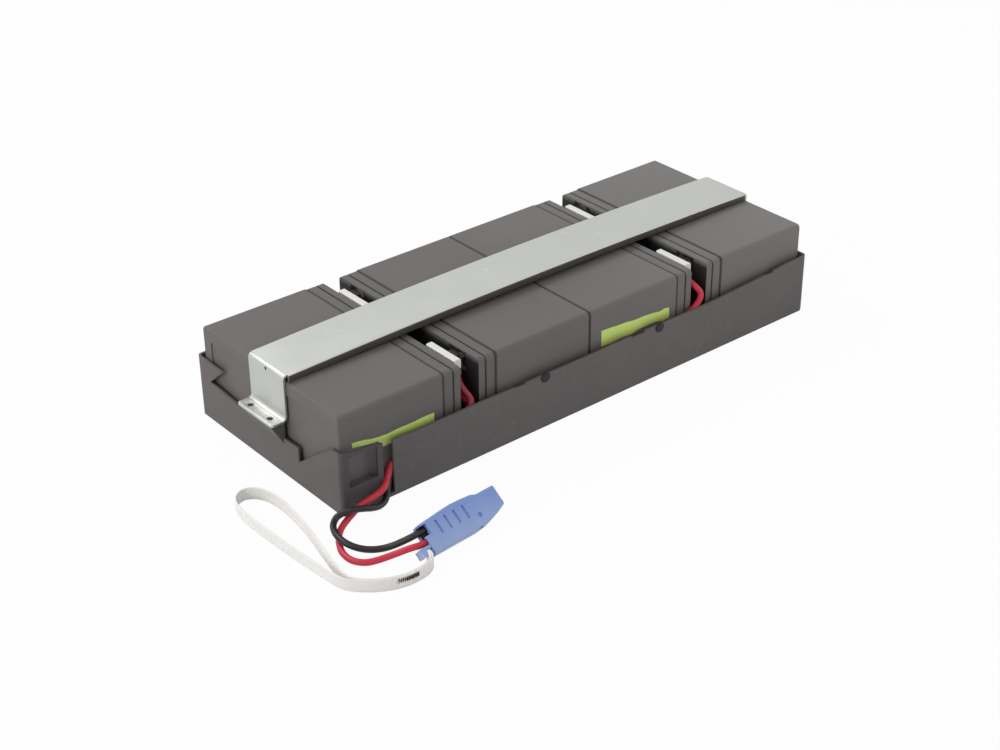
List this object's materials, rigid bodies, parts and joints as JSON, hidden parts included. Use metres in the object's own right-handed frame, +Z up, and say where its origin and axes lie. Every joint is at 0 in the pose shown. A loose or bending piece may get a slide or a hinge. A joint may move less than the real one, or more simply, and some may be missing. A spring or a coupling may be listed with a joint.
{
  "type": "uninterruptible power supply battery cartridge",
  "caption": "Row of sealed lead-acid blocks in a moulded tray under a folded steel hold-down bar, with short leads to a two-pole connector and a flat pull strap.",
  "frame": {"origin": "on the resting plane, under the middle of the tray", "axes": "+X along the row from the end with the cable slot, +Y across the row away from the side with the slot, +Z up"},
  "size_m": [0.4703, 0.2427, 0.076],
  "materials": {
    "tray": "satin moulded",
    "bar": "zinc-plated, smooth",
    "case": "fine matt moulded",
    "lid": "fine matt moulded",
    "vent": "matt moulded",
    "terminal": "tin-plated",
    "shroud": "satin",
    "boot": "satin",
    "red_wire": "satin insulation",
    "black_wire": "satin insulation",
    "connector": "satin moulded",
    "contact": "silver-plated",
    "strap": "woven tape"
  },
  "bodies": {
    "root": {"tray": "tray", "hold_down_bar": "bar", "battery_case_1": "case", "battery_lid_1": "lid", "vent_strip_1": "vent", "terminals_1": "terminal", "battery_case_2": "case", "battery_lid_2": "lid", "vent_strip_2": "vent", "terminals_2": "terminal", "battery_case_3": "case", "battery_lid_3": "lid", "vent_strip_3": "vent", "terminals_3": "terminal", "battery_case_4": "case", "battery_lid_4": "lid", "vent_strip_4": "vent", "terminals_4": "terminal", "terminal_shroud_1_near": "shroud", "terminal_shroud_1_far": "shroud", "terminal_shroud_3_near": "shroud", "terminal_shroud_3_far": "shroud", "terminal_boot_2_near": "boot", "terminal_boot_2_far": "boot", "terminal_boot_4_near": "boot", "terminal_boot_4_far": "boot", "supply_wire_positive": "red_wire", "series_wire_near": "red_wire", "supply_wire_negative": "black_wire", "link_wire_1": "black_wire", "link_wire_2": "black_wire", "red_lead": "red_wire", "black_lead": "black_wire", "connector_housing": "connector", "connector_contacts": "contact", "pull_strap": "strap"}
  },
  "joints": []
}
